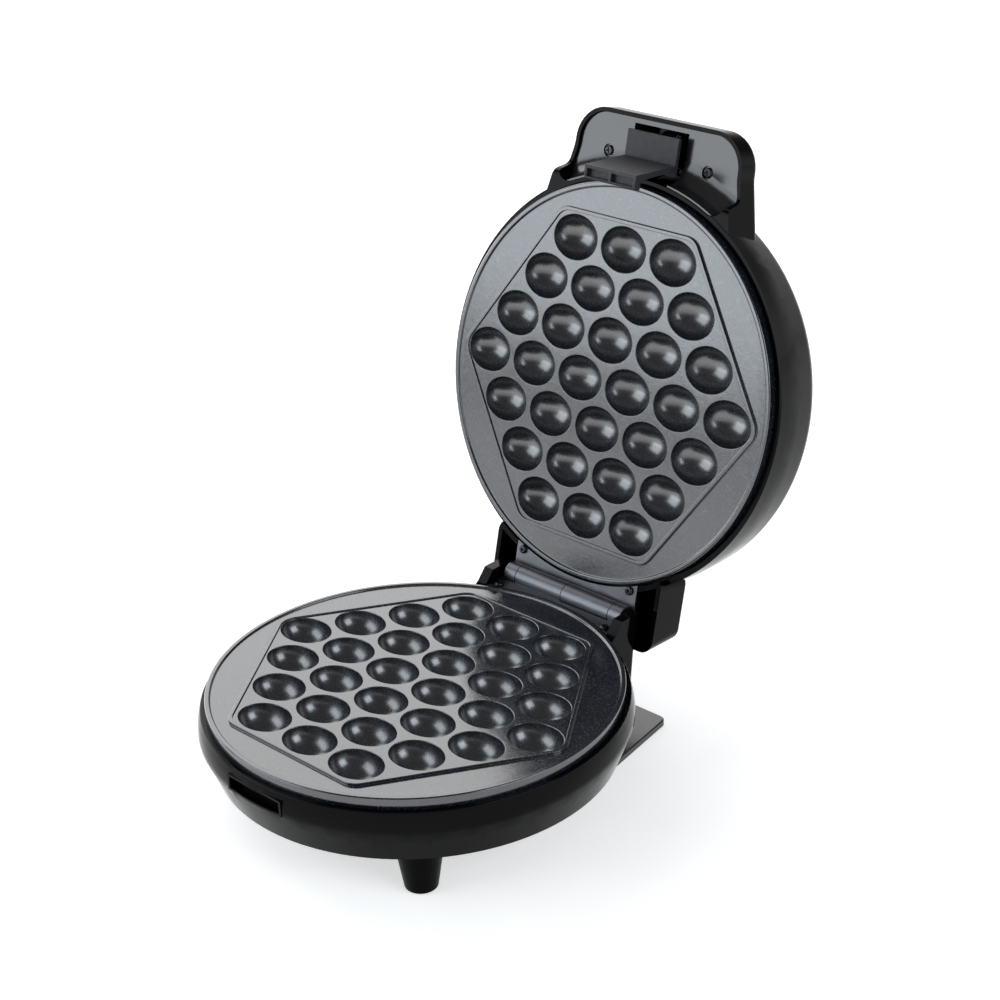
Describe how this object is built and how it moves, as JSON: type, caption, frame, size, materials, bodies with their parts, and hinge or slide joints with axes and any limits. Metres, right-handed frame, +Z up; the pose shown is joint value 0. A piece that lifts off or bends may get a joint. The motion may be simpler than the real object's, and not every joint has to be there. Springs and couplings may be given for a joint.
{
  "type": "bubble waffle maker",
  "caption": "Round hinged bubble waffle maker, open: two black housings with oval-cup non-stick plates, barrel hinge, handle with sprung latch, front feet and a rear stand.",
  "frame": {"origin": "on the table, in the middle of the overall length and width of the machine with its lid open", "axes": "+Z up, +Y from the front feet towards the hinge and the opened lid, +X along the hinge to the right as seen from the front"},
  "size_m": [0.198, 0.2902, 0.2728],
  "materials": {
    "nonstick_plate": "cast, with a dark blue-grey speckled non-stick coating, semi-gloss",
    "black_housing": "moulded, glossy black",
    "handle_panel": "moulded, glossy near-black",
    "latch_plastic": "moulded, satin dark grey",
    "black_feet": "moulded, satin black",
    "dark_stand": "moulded, satin near-black",
    "rubber_pads": "soft, matt black",
    "hinge_steel": "rolled sheet, bright",
    "screw_steel": "plated screws",
    "spring_steel": "thin strip, bare",
    "element_steel": "oxidised tube",
    "shield_sheet": "pressed bare sheet",
    "thermostat_body": "pressed can with tabs",
    "fuse_body": "bare can with wire leads",
    "terminal_plastic": "moulded, off-white",
    "lens_plastic": "clear dark red moulding",
    "lamp_glass": "small glass lamp"
  },
  "bodies": {
    "base": {"lower_plate": "nonstick_plate", "base_housing": "black_housing", "bottom_cover": "black_feet", "front_feet": "black_feet", "rear_stand": "dark_stand", "foot_pads": "rubber_pads", "cord_gland": "rubber_pads", "base_hinge_leaf": "hinge_steel", "hinge_pin": "hinge_steel", "base_hinge_screws": "screw_steel", "bottom_cover_screws": "screw_steel", "foot_screws": "screw_steel", "rear_stand_screws": "screw_steel", "lower_plate_screws": "screw_steel", "lower_heating_element": "element_steel", "lower_heat_shield": "shield_sheet", "thermostat": "thermostat_body", "thermal_fuse": "fuse_body", "terminal_block": "terminal_plastic"},
    "lid": {"lid_housing": "black_housing", "upper_plate": "nonstick_plate", "upper_heating_element": "element_steel", "upper_heat_shield": "shield_sheet", "upper_plate_screws": "screw_steel", "handle_panel": "handle_panel", "handle_screws": "screw_steel", "latch_pin": "spring_steel", "latch_spring": "spring_steel", "lid_hinge_leaf": "hinge_steel", "lid_hinge_screws": "screw_steel", "indicator_lenses": "lens_plastic", "indicator_lamps": "lamp_glass"},
    "latch": {"latch_lever": "latch_plastic"}
  },
  "joints": [
    {"name": "lid_hinge", "type": "hinge", "parent": "base", "child": "lid", "pos_m": [0, 0.0577, 0.0542], "axis": [1, 0, 0], "range_deg": [0, 103.7]},
    {"name": "latch_pivot", "type": "hinge", "parent": "lid", "child": "latch", "pos_m": [0, 0.12392, 0.25153], "axis": [-1, 0, 0], "range_deg": [0, 12], "stiffness_Nm_per_rad": 0.3, "springref_deg": -5.73, "deforming": ["latch_spring"]}
  ]
}
